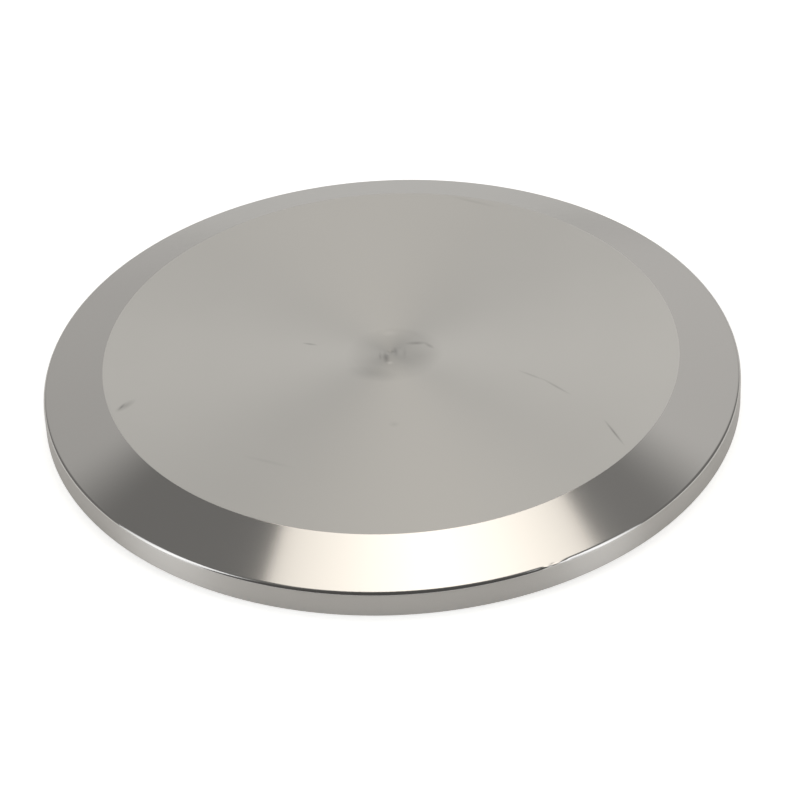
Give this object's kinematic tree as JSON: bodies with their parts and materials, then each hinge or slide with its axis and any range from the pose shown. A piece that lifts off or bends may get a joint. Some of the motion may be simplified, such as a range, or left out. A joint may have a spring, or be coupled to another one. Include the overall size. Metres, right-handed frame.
{
  "type": "sanitary clamp end cap",
  "caption": "Solid round blank cap with a bevelled clamping rim and a gasket groove in its flat sealing face, for closing a hygienic tube joint.",
  "frame": {"origin": "centre of the flat sealing face, on the turning axis", "axes": "+Z along the turning axis, from the sealing face to the outer face; X and Y are any two directions across the disc"},
  "size_m": [0.091, 0.091, 0.0063],
  "materials": {
    "stainless_steel": "turned and lightly polished"
  },
  "bodies": {
    "root": {"end_cap": "stainless_steel"}
  },
  "joints": []
}
